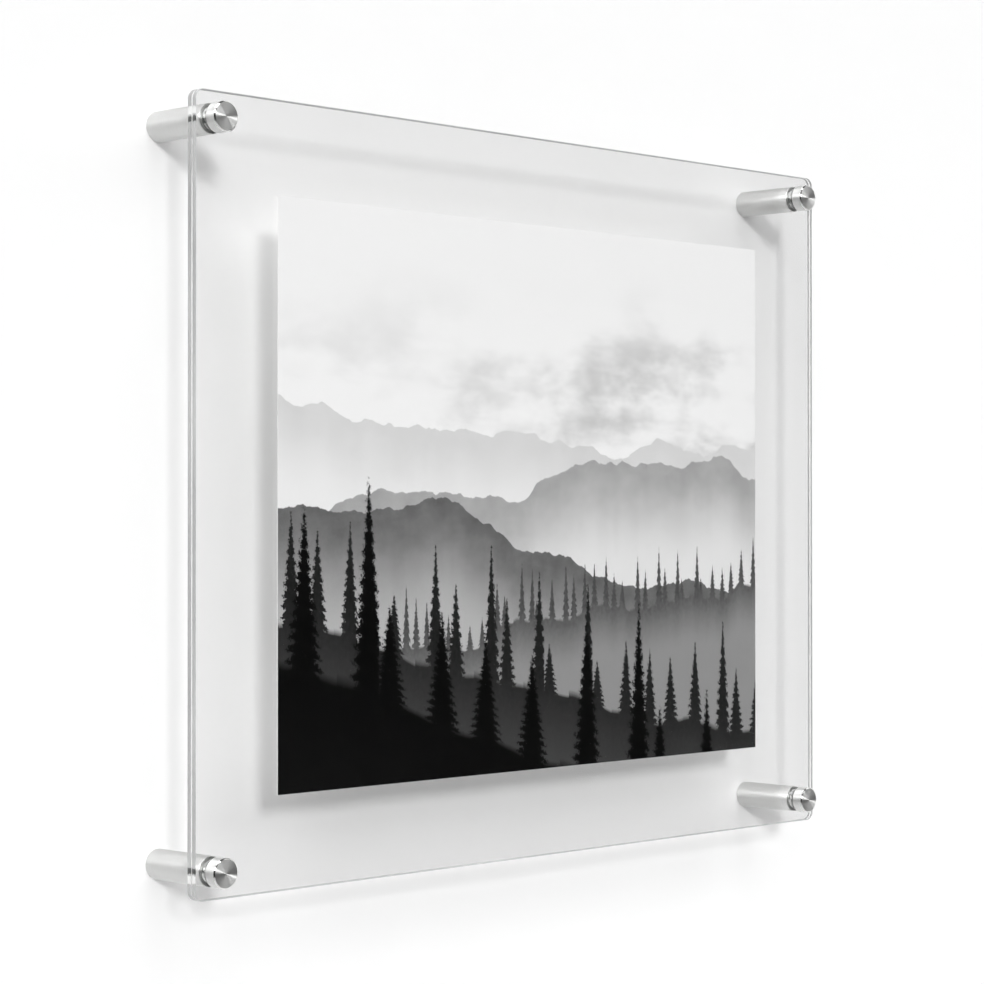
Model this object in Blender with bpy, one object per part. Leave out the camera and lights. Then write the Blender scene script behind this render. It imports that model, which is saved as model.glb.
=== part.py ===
"""Floating acrylic picture frame on four wall standoffs.

Units are metres and +Z is up. The origin is the middle of the frame on the wall's surface, +X points right
and -Y points out of the wall, at the viewer. Pieces are stacked by their distance from the wall.
"""

import math

import bmesh
import bpy

# Print, a landscape sheet of photo paper between the two clear sheets (11 x 14 in)
PRINT_WIDTH = 0.3556
PRINT_HEIGHT = 0.2794
PRINT_THICKNESS = 0.00025
PRINT_CLEARANCE = 0.0003

# Clear sheets, which leave a border all round the print
SIDE_BORDER = 0.0508
TOP_BORDER = 0.04445
SHEET_THICKNESS = 0.0024
SHEET_CORNER_RADIUS = 0.0048
SHEET_EDGE_CHAMFER = 0.0003

# Standoffs, in from both edges of the sheets
STANDOFF_DIAMETER = 0.0143
STANDOFF_INSET = 0.0125
BARREL_LENGTH = 0.0365
BARREL_CHAMFER = 0.0004
BARREL_BASE = 0.003
BORE_LEAD_IN = 0.0005
CAP_THICKNESS = 0.00635
CAP_FRONT_CHAMFER = 0.0006
CAP_BACK_CHAMFER = 0.0002

# Threaded studs (M10), fixed in the caps and screwed into the barrels
STUD_DIAMETER = 0.01
STUD_CLEARANCE = 0.0003
STUD_IN_BARREL = 0.012
STUD_IN_CAP = 0.004
STUD_CHAMFER = 0.001
HEX_SIDES = 6
HEX_ACROSS_FLATS = 0.005
HEX_DEPTH = 0.005

# Clear washers in front of and behind the sheets
WASHER_THICKNESS = 0.0003
WASHER_RIM_INSET = 0.0002

# Wall screws (No. 8 pan head), which hold the barrels to the wall
SCREW_DIAMETER = 0.0042
SCREW_CLEARANCE = 0.0003
SCREW_LENGTH = 0.038
SCREW_POINT = 0.006
SCREW_HEAD_DIAMETER = 0.008
SCREW_HEAD_HEIGHT = 0.003
SCREW_HEAD_ROUNDING = 0.0016
CROSS_SPAN = 0.0044
CROSS_WIDTH = 0.001
CROSS_DEPTH = 0.0018

# Wall anchors, plugs behind the barrels whose rims sit in a recess of the barrel's base
ANCHOR_DIAMETER = 0.008
ANCHOR_LENGTH = 0.028
ANCHOR_RIM_DIAMETER = 0.01
ANCHOR_RIM_THICKNESS = 0.001
ANCHOR_CLEARANCE = 0.0003
ANCHOR_RIB_DEPTH = 0.0005
ANCHOR_RIB_COUNT = 7
ANCHOR_SLIT_WIDTH = 0.001
ANCHOR_SLIT_LENGTH = 0.019

# Gap that pieces clamped flat on each other keep, and how far a cutter runs past what it cuts
CLAMP_GAP = 0.0001
CUT_PAST = 0.001

# Facets of round shapes, and the distance under which their points are one
ROUND_SIDES = 32
SMALL_SIDES = 20
CORNER_STEPS = 6
HEAD_STEPS = 3
SMOOTH_ANGLE = math.radians(30)
WELD_DISTANCE = 0.000001

# Sizes that follow from the ones above
SHEET_WIDTH = PRINT_WIDTH + 2 * SIDE_BORDER
SHEET_HEIGHT = PRINT_HEIGHT + 2 * TOP_BORDER
STANDOFF_X = SHEET_WIDTH / 2 - STANDOFF_INSET
STANDOFF_Z = SHEET_HEIGHT / 2 - STANDOFF_INSET
STANDOFF_RADIUS = STANDOFF_DIAMETER / 2
STUD_RADIUS = STUD_DIAMETER / 2
STUD_HOLE_RADIUS = STUD_RADIUS + STUD_CLEARANCE
WASHER_RADIUS = STANDOFF_RADIUS - WASHER_RIM_INSET
SCREW_RADIUS = SCREW_DIAMETER / 2
SCREW_HOLE_RADIUS = SCREW_RADIUS + SCREW_CLEARANCE
ANCHOR_RADIUS = ANCHOR_DIAMETER / 2
ANCHOR_RIM_RADIUS = ANCHOR_RIM_DIAMETER / 2
RECESS_RADIUS = ANCHOR_RIM_RADIUS + ANCHOR_CLEARANCE
RECESS_DEPTH = ANCHOR_RIM_THICKNESS + ANCHOR_CLEARANCE

# Distances from the wall, from the barrel's inside out to the cap
BARREL_FLOOR = RECESS_DEPTH + BARREL_BASE
SCREW_SEAT = BARREL_FLOOR + CLAMP_GAP
STUD_END = BARREL_LENGTH - STUD_IN_BARREL
REAR_WASHER_BACK = BARREL_LENGTH + CLAMP_GAP
BACK_PANEL_BACK = REAR_WASHER_BACK + WASHER_THICKNESS + CLAMP_GAP
PRINT_BACK = BACK_PANEL_BACK + SHEET_THICKNESS + PRINT_CLEARANCE
FRONT_PANEL_BACK = PRINT_BACK + PRINT_THICKNESS + PRINT_CLEARANCE
FRONT_WASHER_BACK = FRONT_PANEL_BACK + SHEET_THICKNESS + CLAMP_GAP
CAP_BACK = FRONT_WASHER_BACK + WASHER_THICKNESS + CLAMP_GAP
STUD_LENGTH = CAP_BACK + STUD_IN_CAP - STUD_END

# Corners as seen from the front, with their sides along X and Z
CORNERS = {
    "top_left": (-1, 1),
    "top_right": (1, 1),
    "bottom_left": (-1, -1),
    "bottom_right": (1, -1),
}


def clear_scene():
    for old in list(bpy.data.objects):
        bpy.data.objects.remove(old, do_unlink=True)


def make_material(name, colour, roughness, metallic=0.0, transmission=0.0):
    material = bpy.data.materials.new(name)
    material.use_nodes = True
    shader = material.node_tree.nodes["Principled BSDF"]
    shader.inputs["Base Color"].default_value = (*colour, 1.0)
    shader.inputs["Roughness"].default_value = roughness
    shader.inputs["Metallic"].default_value = metallic
    shader.inputs["Transmission Weight"].default_value = transmission
    return material


def finish_mesh(bm, name, material=None):
    """Turns a bmesh into a mesh that faces out and is smooth across its shallow edges."""
    bmesh.ops.recalc_face_normals(bm, faces=bm.faces)
    mesh = bpy.data.meshes.new(name)
    bm.to_mesh(mesh)
    bm.free()
    mesh.shade_smooth()
    mesh.set_sharp_from_angle(angle=SMOOTH_ANGLE)
    if material:
        mesh.materials.append(material)
    return mesh


def add_object(name, mesh, distance=0.0, parent=None):
    """Places a mesh at a distance from the wall, on its parent's axis."""
    piece = bpy.data.objects.new(name, mesh)
    piece.location = (0, -distance, 0)
    piece.parent = parent
    bpy.context.scene.collection.objects.link(piece)
    return piece


def add_axis(name, x, z):
    """An empty on the wall whose Y axis is a standoff's axis."""
    axis = bpy.data.objects.new(name, None)
    axis.location = (x, 0, z)
    bpy.context.scene.collection.objects.link(axis)
    return axis


def arc_points(centre, radius, start, end, steps):
    """Points along an arc, both ends included, with angles in degrees."""
    angles = [math.radians(start + (end - start) * i / steps) for i in range(steps + 1)]
    return [(centre[0] + radius * math.cos(a), centre[1] + radius * math.sin(a)) for a in angles]


def turned_mesh(name, profile, sides, material):
    """Spins a closed (radius, distance) profile about the Y axis; a radius of 0 lies on the axis."""
    bm = bmesh.new()
    verts = [bm.verts.new((radius, -distance, 0)) for radius, distance in profile]
    edges = []
    for i, vert in enumerate(verts):
        following = verts[(i + 1) % len(verts)]
        if profile[i][0] or profile[(i + 1) % len(verts)][0]:
            edges.append(bm.edges.new((vert, following)))
    bmesh.ops.spin(
        bm,
        geom=verts + edges,
        cent=(0, 0, 0),
        axis=(0, 1, 0),
        angle=math.tau,
        steps=sides,
        use_merge=True,
    )
    bmesh.ops.remove_doubles(bm, verts=bm.verts, dist=WELD_DISTANCE)
    return finish_mesh(bm, name, material)


def add_ring(bm, points, distance):
    return [bm.verts.new((x, -distance, z)) for x, z in points]


def skin_rings(bm, lower, upper):
    """Joins two rings of as many points with quads."""
    for i in range(len(lower)):
        j = (i + 1) % len(lower)
        bm.faces.new((lower[i], lower[j], upper[j], upper[i]))


def fill_rings(bm, rings):
    """Fills a flat face between an outline and its holes."""
    edges = [bm.edges.get((ring[i - 1], ring[i])) for ring in rings for i in range(len(ring))]
    bmesh.ops.triangle_fill(bm, edges=edges, use_beauty=True)


def prism_mesh(name, outline, start, end):
    """Extrudes an (x, z) outline between two distances from the wall."""
    bm = bmesh.new()
    back = add_ring(bm, outline, start)
    front = add_ring(bm, outline, end)
    skin_rings(bm, back, front)
    bm.faces.new(back)
    bm.faces.new(front)
    return finish_mesh(bm, name)


def box_outline(width, height):
    return [(x * width / 2, z * height / 2) for x, z in ((-1, -1), (1, -1), (1, 1), (-1, 1))]


def rounded_outline(width, height, radius):
    """Rectangle with round corners, anticlockwise as seen from the front."""
    points = []
    for start, (x, z) in zip((0, 90, 180, 270), ((1, 1), (-1, 1), (-1, -1), (1, -1))):
        centre = (x * (width / 2 - radius), z * (height / 2 - radius))
        points += arc_points(centre, radius, start, start + 90, CORNER_STEPS)
    return points


def circle_outline(centre, radius, sides):
    return arc_points(centre, radius, 0, 360, sides)[:-1]


def sheet_mesh(name, material):
    """Clear sheet with chamfered rims and a hole on each standoff's axis, its back face at y = 0."""
    bm = bmesh.new()
    levels = (
        (0, SHEET_EDGE_CHAMFER),
        (SHEET_EDGE_CHAMFER, 0),
        (SHEET_THICKNESS - SHEET_EDGE_CHAMFER, 0),
        (SHEET_THICKNESS, SHEET_EDGE_CHAMFER),
    )
    stack = []
    for distance, inset in levels:
        rim = rounded_outline(SHEET_WIDTH - 2 * inset, SHEET_HEIGHT - 2 * inset, SHEET_CORNER_RADIUS - inset)
        rings = [add_ring(bm, rim, distance)]
        for x, z in CORNERS.values():
            hole = circle_outline((x * STANDOFF_X, z * STANDOFF_Z), STUD_HOLE_RADIUS + inset, ROUND_SIDES)
            rings.append(add_ring(bm, hole, distance))
        stack.append(rings)
    for lower, upper in zip(stack, stack[1:]):
        for lower_ring, upper_ring in zip(lower, upper):
            skin_rings(bm, lower_ring, upper_ring)
    fill_rings(bm, stack[0])
    fill_rings(bm, stack[-1])
    return finish_mesh(bm, name, material)


def print_mesh(name, material):
    mesh = prism_mesh(name, box_outline(PRINT_WIDTH, PRINT_HEIGHT), 0, PRINT_THICKNESS)
    mesh.materials.append(material)
    return mesh


def barrel_mesh(name, material):
    """Tube with a base: stud bore in front, screw hole in the base, recess for the anchor's rim behind."""
    profile = [
        (RECESS_RADIUS, 0),
        (STANDOFF_RADIUS - BARREL_CHAMFER, 0),
        (STANDOFF_RADIUS, BARREL_CHAMFER),
        (STANDOFF_RADIUS, BARREL_LENGTH - BARREL_CHAMFER),
        (STANDOFF_RADIUS - BARREL_CHAMFER, BARREL_LENGTH),
        (STUD_HOLE_RADIUS + BORE_LEAD_IN, BARREL_LENGTH),
        (STUD_HOLE_RADIUS, BARREL_LENGTH - BORE_LEAD_IN),
        (STUD_HOLE_RADIUS, BARREL_FLOOR),
        (SCREW_HOLE_RADIUS, BARREL_FLOOR),
        (SCREW_HOLE_RADIUS, RECESS_DEPTH),
        (RECESS_RADIUS, RECESS_DEPTH),
    ]
    return turned_mesh(name, profile, ROUND_SIDES, material)


def cap_mesh(name, material):
    """Flat-faced cap with a blind hole in its back for the stud."""
    profile = [
        (0, CAP_THICKNESS),
        (STANDOFF_RADIUS - CAP_FRONT_CHAMFER, CAP_THICKNESS),
        (STANDOFF_RADIUS, CAP_THICKNESS - CAP_FRONT_CHAMFER),
        (STANDOFF_RADIUS, CAP_BACK_CHAMFER),
        (STANDOFF_RADIUS - CAP_BACK_CHAMFER, 0),
        (STUD_HOLE_RADIUS, 0),
        (STUD_HOLE_RADIUS, STUD_IN_CAP + CLAMP_GAP),
        (0, STUD_IN_CAP + CLAMP_GAP),
    ]
    return turned_mesh(name, profile, ROUND_SIDES, material)


def washer_mesh(name, material):
    profile = [
        (STUD_HOLE_RADIUS, 0),
        (WASHER_RADIUS, 0),
        (WASHER_RADIUS, WASHER_THICKNESS),
        (STUD_HOLE_RADIUS, WASHER_THICKNESS),
    ]
    return turned_mesh(name, profile, ROUND_SIDES, material)


def stud_mesh(name, material):
    """Plain body of the threaded stud, at the thread's outer diameter, with chamfered ends."""
    profile = [
        (0, 0),
        (STUD_RADIUS - STUD_CHAMFER, 0),
        (STUD_RADIUS, STUD_CHAMFER),
        (STUD_RADIUS, STUD_LENGTH - STUD_CHAMFER),
        (STUD_RADIUS - STUD_CHAMFER, STUD_LENGTH),
        (0, STUD_LENGTH),
    ]
    return turned_mesh(name, profile, ROUND_SIDES, material)


def screw_mesh(name, material):
    """Pan head screw at its thread's outer diameter, with the head's underside at y = 0."""
    head_radius = SCREW_HEAD_DIAMETER / 2
    rounding_centre = (head_radius - SCREW_HEAD_ROUNDING, SCREW_HEAD_HEIGHT - SCREW_HEAD_ROUNDING)
    profile = [
        (0, -SCREW_LENGTH),
        (SCREW_RADIUS, SCREW_POINT - SCREW_LENGTH),
        (SCREW_RADIUS, 0),
        (head_radius, 0),
        *arc_points(rounding_centre, SCREW_HEAD_ROUNDING, 0, 90, HEAD_STEPS),
        (0, SCREW_HEAD_HEIGHT),
    ]
    return turned_mesh(name, profile, SMALL_SIDES, material)


def anchor_mesh(name, material):
    """Ribbed plug behind the wall's surface, with its rim in front of it and a bore for the screw."""
    rib_pitch = ANCHOR_LENGTH / ANCHOR_RIB_COUNT
    profile = [
        (SCREW_HOLE_RADIUS, ANCHOR_RIM_THICKNESS),
        (ANCHOR_RIM_RADIUS, ANCHOR_RIM_THICKNESS),
        (ANCHOR_RIM_RADIUS, 0),
    ]
    for rib in range(ANCHOR_RIB_COUNT):
        profile.append((ANCHOR_RADIUS, -rib * rib_pitch))
        profile.append((ANCHOR_RADIUS - ANCHOR_RIB_DEPTH, -(rib + 1) * rib_pitch))
    profile.append((SCREW_HOLE_RADIUS, -ANCHOR_LENGTH))
    return turned_mesh(name, profile, SMALL_SIDES, material)


def hex_socket_mesh(name):
    """Cutter for the hexagon socket in the stud's wall end."""
    corner_radius = HEX_ACROSS_FLATS / 2 / math.cos(math.pi / HEX_SIDES)
    return prism_mesh(name, circle_outline((0, 0), corner_radius, HEX_SIDES), -CUT_PAST, HEX_DEPTH)


def cross_recess_mesh(name):
    """Cutter for the cross recess in the screw's head."""
    arm, half = CROSS_SPAN / 2, CROSS_WIDTH / 2
    outline = []
    for quarter in range(4):
        turn = math.radians(90 * quarter)
        for x, z in ((half, half), (half, arm), (-half, arm)):
            outline.append((x * math.cos(turn) - z * math.sin(turn), x * math.sin(turn) + z * math.cos(turn)))
    return prism_mesh(name, outline, SCREW_HEAD_HEIGHT - CROSS_DEPTH, SCREW_HEAD_HEIGHT + CUT_PAST)


def anchor_slit_mesh(name):
    """Cutter for the slit that lets the anchor's tip spread."""
    outline = box_outline(ANCHOR_SLIT_WIDTH, ANCHOR_DIAMETER + 2 * CUT_PAST)
    return prism_mesh(name, outline, -ANCHOR_LENGTH - CUT_PAST, ANCHOR_SLIT_LENGTH - ANCHOR_LENGTH)


def add_cut_piece(name, mesh, cutter_mesh, distance, parent):
    """Places a piece with a cutter that moves with it."""
    piece = add_object(name, mesh, distance, parent)
    cutter = add_object(f"{name}_cutter", cutter_mesh, parent=piece)
    cutter.hide_render = True
    cutter.display_type = "WIRE"
    boolean = piece.modifiers.new("cut", "BOOLEAN")
    boolean.operation = "DIFFERENCE"
    boolean.solver = "EXACT"
    boolean.object = cutter
    return piece


def build_picture():
    """The two clear sheets and the print between them."""
    acrylic = make_material("clear_acrylic", (0.93, 0.95, 0.95), 0.05, transmission=1.0)
    paper = make_material("photo_paper", (0.55, 0.55, 0.55), 0.5)
    sheet = sheet_mesh("sheet", acrylic)
    add_object("back_panel", sheet, BACK_PANEL_BACK)
    add_object("print", print_mesh("print", paper), PRINT_BACK)
    add_object("front_panel", sheet, FRONT_PANEL_BACK)


def build_standoffs():
    """The barrel, cap, stud, washers, screw and anchor in each corner."""
    barrel = barrel_mesh("barrel", make_material("satin_steel", (0.72, 0.72, 0.71), 0.35, metallic=1.0))
    cap = cap_mesh("cap", make_material("turned_steel", (0.74, 0.74, 0.73), 0.28, metallic=1.0))
    stud = stud_mesh("stud", make_material("stud_steel", (0.56, 0.56, 0.55), 0.4, metallic=1.0))
    washer = washer_mesh("washer", make_material("clear_vinyl", (0.9, 0.92, 0.92), 0.2, transmission=0.8))
    screw = screw_mesh("screw", make_material("zinc_plate", (0.62, 0.63, 0.65), 0.35, metallic=1.0))
    anchor = anchor_mesh("anchor", make_material("grey_nylon", (0.55, 0.56, 0.57), 0.6))
    hex_socket = hex_socket_mesh("hex_socket")
    cross_recess = cross_recess_mesh("cross_recess")
    anchor_slit = anchor_slit_mesh("anchor_slit")
    for corner, (x, z) in CORNERS.items():
        axis = add_axis(f"standoff_axis_{corner}", x * STANDOFF_X, z * STANDOFF_Z)
        add_object(f"barrel_{corner}", barrel, 0, axis)
        add_object(f"rear_washer_{corner}", washer, REAR_WASHER_BACK, axis)
        add_object(f"front_washer_{corner}", washer, FRONT_WASHER_BACK, axis)
        add_object(f"cap_{corner}", cap, CAP_BACK, axis)
        add_cut_piece(f"stud_{corner}", stud, hex_socket, STUD_END, axis)
        add_cut_piece(f"wall_screw_{corner}", screw, cross_recess, SCREW_SEAT, axis)
        add_cut_piece(f"wall_anchor_{corner}", anchor, anchor_slit, 0, axis)


def main():
    clear_scene()
    build_picture()
    build_standoffs()


main()
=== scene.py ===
"""Looks of a floating acrylic picture frame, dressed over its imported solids.

Units are metres, +Z is up and -Y points out of the wall. Each piece stands where its solid stands and takes
its main sizes from that solid's box. Only the finer sizes, such as rounded rims and threads, are set here.
"""

import logging
import math
from collections.abc import Callable, Sequence
from dataclasses import dataclass
from enum import Enum
from functools import cached_property

import bmesh
import bpy
from mathutils import Matrix, Vector
from mathutils.geometry import delaunay_2d_cdt

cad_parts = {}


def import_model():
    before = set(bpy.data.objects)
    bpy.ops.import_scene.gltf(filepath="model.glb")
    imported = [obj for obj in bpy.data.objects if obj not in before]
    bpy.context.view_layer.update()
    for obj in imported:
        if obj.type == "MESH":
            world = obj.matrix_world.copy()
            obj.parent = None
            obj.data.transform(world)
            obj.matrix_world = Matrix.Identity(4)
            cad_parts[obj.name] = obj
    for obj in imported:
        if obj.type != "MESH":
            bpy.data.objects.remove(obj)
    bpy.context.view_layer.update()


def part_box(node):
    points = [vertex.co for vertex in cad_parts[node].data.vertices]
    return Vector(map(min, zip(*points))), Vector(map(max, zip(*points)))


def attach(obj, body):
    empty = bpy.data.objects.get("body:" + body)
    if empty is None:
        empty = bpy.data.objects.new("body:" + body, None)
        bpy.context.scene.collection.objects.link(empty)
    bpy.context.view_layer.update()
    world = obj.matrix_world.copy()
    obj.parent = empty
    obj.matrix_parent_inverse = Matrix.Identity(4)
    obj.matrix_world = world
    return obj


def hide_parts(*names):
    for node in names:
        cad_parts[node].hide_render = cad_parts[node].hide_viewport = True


LOG = logging.getLogger("acrylic_frame")
IMAGE_PIXELS = 984
SENSOR_MM = 36.0
SMOOTH_ANGLE = math.radians(32)
FLAT_END = 0.99999  # share of a face's normal along Y from which it is a flat end
WELD = 1e-7  # distance within which points are one
SLIVER = 1e-6  # edges shorter than this are taken out of a cut mesh
FILL_MERGE = 1e-9  # distance within which a filled face's points are one
THREAD_STEPS = 10  # rings in each turn of a thread
RUN_OUT_STEPS = 8  # rings over which a thread runs out
UNIT = (0.0, 1.0)
NOISE_SPAN = (0.3, 0.7)  # range that most of a noise lies in
RANGE_INPUTS = ("Value", "From Min", "From Max", "To Min", "To Max")
RANGE_EASE = {False: "LINEAR", True: "SMOOTHSTEP"}
WHITE = (1.0, 1.0, 1.0)
RANDOM_SHIFT = 3.7  # most that a piece is shifted within a pattern, in metres

Point = tuple[float, float]
Triple = tuple[float, float, float]
Rings = Sequence[Sequence[Point]]
BMesh = bmesh.types.BMesh
BMVert = bmesh.types.BMVert
BMFace = bmesh.types.BMFace
Mesh = bpy.types.Mesh
Material = bpy.types.Material
Node = bpy.types.Node
NodeTree = bpy.types.NodeTree
Socket = bpy.types.NodeSocket
Sockets = bpy.types.NodeOutputs
Value = float | tuple[float, ...] | Socket


class Corner(Enum):
    """Corners of the frame, as seen from the front."""

    TOP_LEFT = "top_left"
    TOP_RIGHT = "top_right"
    BOTTOM_LEFT = "bottom_left"
    BOTTOM_RIGHT = "bottom_right"


class Slot(Enum):
    """Material slots of the record."""

    ACRYLIC = "acrylic"
    PRINT_PAPER = "print_paper"
    SATIN_METAL = "satin_metal"
    TURNED_METAL = "turned_metal"
    STUD_STEEL = "stud_steel"
    CLEAR_WASHER = "clear_washer"
    ZINC_SCREW = "zinc_screw"
    NYLON_ANCHOR = "nylon_anchor"


class ThreadForm(Enum):
    """Cross-sections of the screw threads, by the slope of the flanks and what is taken off the crest."""

    METRIC = (1.25, 0.125)
    WOOD = (3.2, 0.0)


# Meshes


@dataclass(frozen=True)
class ProfilePoint:
    """One point of a turned profile."""

    radius: float
    distance: float  # out of the wall
    cut: float = 0.0  # depth of the thread here, or 0 on a plain surface


@dataclass(frozen=True)
class Thread:
    """Right-hand thread."""

    pitch: float
    form: ThreadForm

    def groove(self, angle: float, distance: float) -> float:
        """Says how far the groove is cut at one place.

        Args:
            angle: Angle about the axis, from +X to +Z.
            distance: Distance out of the wall.

        Returns:
            0 on the crest and 1 at the root.
        """
        phase = (distance / self.pitch - angle / math.tau) % 1.0
        slope, crest = self.form.value
        return min(max(slope * abs(2 * phase - 1) - crest, 0.0), 1.0)


def arc(centre: Point, radius: float, start: float, end: float, steps: int) -> list[Point]:
    """Points along an arc from one angle to another, in radians, both ends included."""
    angles = [start + (end - start) * i / steps for i in range(steps + 1)]
    return [(centre[0] + radius * math.cos(a), centre[1] + radius * math.sin(a)) for a in angles]


def circle(centre: Point, radius: float, sides: int) -> list[Point]:
    """Points of a full circle, the first not repeated."""
    return arc(centre, radius, 0.0, math.tau, sides)[:-1]


def eased(corners: Sequence[Triple], steps: int = 4) -> list[Point]:
    """Rounds the corners of an open chain of straight lines.

    Args:
        corners: Points with the radius that eases each of them, 0 for a sharp one.
        steps: Straight steps in each rounding.

    Returns:
        The points of the eased chain.
    """
    points: list[Point] = []
    last = len(corners) - 1
    for i, (x, y, radius) in enumerate(corners):
        if radius <= 0 or i in (0, last):
            points.append((x, y))
            continue
        here = Vector((x, y))
        before = (Vector(corners[i - 1][:2]) - here).normalized()
        after = (Vector(corners[i + 1][:2]) - here).normalized()
        half = before.angle(after) / 2
        reach = radius / math.tan(half)
        centre = here + (before + after).normalized() * (radius / math.sin(half))
        first, final = here + before * reach - centre, here + after * reach - centre
        turn = first.angle_signed(final)
        for k in range(steps + 1):
            spoke = Matrix.Rotation(-turn * k / steps, 2) @ first
            points.append(tuple(centre + spoke))
    return points


def smooth_mesh(bm: BMesh, name: str) -> Mesh:
    """Turns a bmesh into a mesh that is smooth over its shallow edges.

    Args:
        bm: The bmesh, which is freed.
        name: Name of the mesh.

    Returns:
        The mesh.
    """
    mesh = bpy.data.meshes.new(name)
    bm.to_mesh(mesh)
    bm.free()
    mesh.shade_smooth()
    mesh.set_sharp_from_angle(angle=SMOOTH_ANGLE)
    return mesh


def finished(bm: BMesh, name: str) -> Mesh:
    """Turns the bmesh of a piece into a mesh that faces out and has truly flat ends.

    Args:
        bm: The bmesh, which is freed.
        name: Name of the mesh.

    Returns:
        The mesh.
    """
    bmesh.ops.remove_doubles(bm, verts=bm.verts, dist=WELD)
    bmesh.ops.recalc_face_normals(bm, faces=bm.faces)
    mesh = smooth_mesh(bm, name)
    for polygon in mesh.polygons:
        if abs(polygon.normal.y) > FLAT_END:
            polygon.use_smooth = False
    return mesh


def turned(
    name: str, profile: Sequence[ProfilePoint], sides: int, thread: Thread | None = None, closed: bool = True
) -> Mesh:
    """Spins a profile about the Y axis, cutting a thread where the profile asks for one.

    Args:
        name: Name of the mesh.
        profile: Points of the profile in order.
        sides: Number of facets round the axis.
        thread: Thread of the points that have a cut.
        closed: Whether the last point joins the first.

    Returns:
        The mesh, about its own axis.
    """
    bm = bmesh.new()
    rings: list[list[BMVert]] = []
    for point in profile:
        if point.radius < WELD:
            rings.append([bm.verts.new((0.0, -point.distance, 0.0))])
            continue
        ring = []
        for k in range(sides):
            angle = math.tau * k / sides
            cut = point.cut * thread.groove(angle, point.distance) if thread and point.cut else 0.0
            radius = point.radius - cut
            ring.append(bm.verts.new((radius * math.cos(angle), -point.distance, radius * math.sin(angle))))
        rings.append(ring)
    if closed:
        rings.append(rings[0])
    for low, high in zip(rings, rings[1:]):
        for k in range(sides):
            corners = [ring[i % len(ring)] for ring, i in ((low, k), (low, k + 1), (high, k + 1), (high, k))]
            unique = list(dict.fromkeys(corners))
            if len(unique) > 2:
                bm.faces.new(unique)
    return finished(bm, name)


def plain(points: Sequence[Point]) -> list[ProfilePoint]:
    """Makes profile points with no thread on them."""
    return [ProfilePoint(radius, distance) for radius, distance in points]


def threaded_run(radius: float, start: float, end: float, depth: float, pitch: float) -> list[ProfilePoint]:
    """Profile points along a threaded length, with the thread running out at both ends.

    Args:
        radius: Radius of the crest.
        start: Distance of the first point.
        end: Distance of the last point.
        depth: Depth of the thread.
        pitch: Pitch of the thread.

    Returns:
        The points.
    """
    steps = max(2, round(abs(end - start) / pitch * THREAD_STEPS))
    run = []
    for i in range(steps + 1):
        share = i / steps
        ease = min(1.0, min(share, 1 - share) * steps / RUN_OUT_STEPS)
        run.append(ProfilePoint(radius, start + (end - start) * share, depth * ease))
    return run


def rounded_outline(half: Point, radius: float, steps: int) -> list[Point]:
    """Rectangle with round corners, anticlockwise as seen from the front.

    Args:
        half: Half of its width and of its height.
        radius: Radius of its corners.
        steps: Straight steps in each corner.

    Returns:
        The outline's points.
    """
    points = []
    for quarter, (x, z) in enumerate(((1, 1), (-1, 1), (-1, -1), (1, -1))):
        centre = (x * (half[0] - radius), z * (half[1] - radius))
        points += arc(centre, radius, quarter * math.pi / 2, (quarter + 1) * math.pi / 2, steps)
    return points


def pierced_face(rings: Rings) -> list[tuple[int, ...]]:
    """Fills the flat area between an outline and the holes in it.

    Args:
        rings: The convex outline first, then each round hole.

    Returns:
        The triangles, each by the numbers of its points, which are counted ring after ring.
    """
    points: list[Point] = []
    edges: list[tuple[int, int]] = []
    for ring in rings:
        first = len(points)
        points += list(ring)
        edges += [(first + i, first + (i + 1) % len(ring)) for i in range(len(ring))]
    filled = delaunay_2d_cdt([Vector(p) for p in points], edges, [], 0, FILL_MERGE)
    holes = []
    for ring in rings[1:]:
        centre = sum((Vector(p) for p in ring), Vector((0.0, 0.0))) / len(ring)
        holes.append((centre, (Vector(ring[0]) - centre).length))
    triangles = []
    for face in filled[2]:
        middle = sum((filled[0][i] for i in face), Vector((0.0, 0.0))) / len(face)
        if all((middle - centre).length > radius for centre, radius in holes):
            triangles.append(tuple(filled[3][i][0] for i in face))
    return triangles


def level(bm: BMesh, rings: Rings, distance: float) -> list[list[BMVert]]:
    """Adds the points of some rings at one distance out of the wall."""
    return [[bm.verts.new((x, -distance, z)) for x, z in ring] for ring in rings]


def band(bm: BMesh, low: Sequence[BMVert], high: Sequence[BMVert]) -> list[BMFace]:
    """Joins two rings of points with faces."""
    following = [*range(1, len(low)), 0]
    return [bm.faces.new((low[k], low[n], high[n], high[k])) for k, n in enumerate(following)]


def lid(bm: BMesh, rings: Rings, verts: Sequence[Sequence[BMVert]]) -> list[BMFace]:
    """Fills the flat area between the points of an outline and of the holes in it."""
    flat = [vert for ring in verts for vert in ring]
    return [bm.faces.new([flat[i] for i in triangle]) for triangle in pierced_face(rings)]


def slab(
    outline: Callable[[float], Rings], levels: Sequence[Point]
) -> tuple[BMesh, list[BMFace], list[BMFace]]:
    """Builds a flat piece with an eased rim.

    Args:
        outline: Gives the outline and the holes for an inset of the rim.
        levels: Inset and distance of each level from the back to the front.

    Returns:
        The bmesh, its rim's faces and its front's faces.
    """
    bm = bmesh.new()
    stack = [level(bm, outline(inset), distance) for inset, distance in levels]
    rim = []
    for low, high in zip(stack, stack[1:]):
        for rings in zip(low, high):
            rim += band(bm, *rings)
    lid(bm, outline(levels[0][0]), stack[0])
    return bm, rim, lid(bm, outline(levels[-1][0]), stack[-1])


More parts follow.
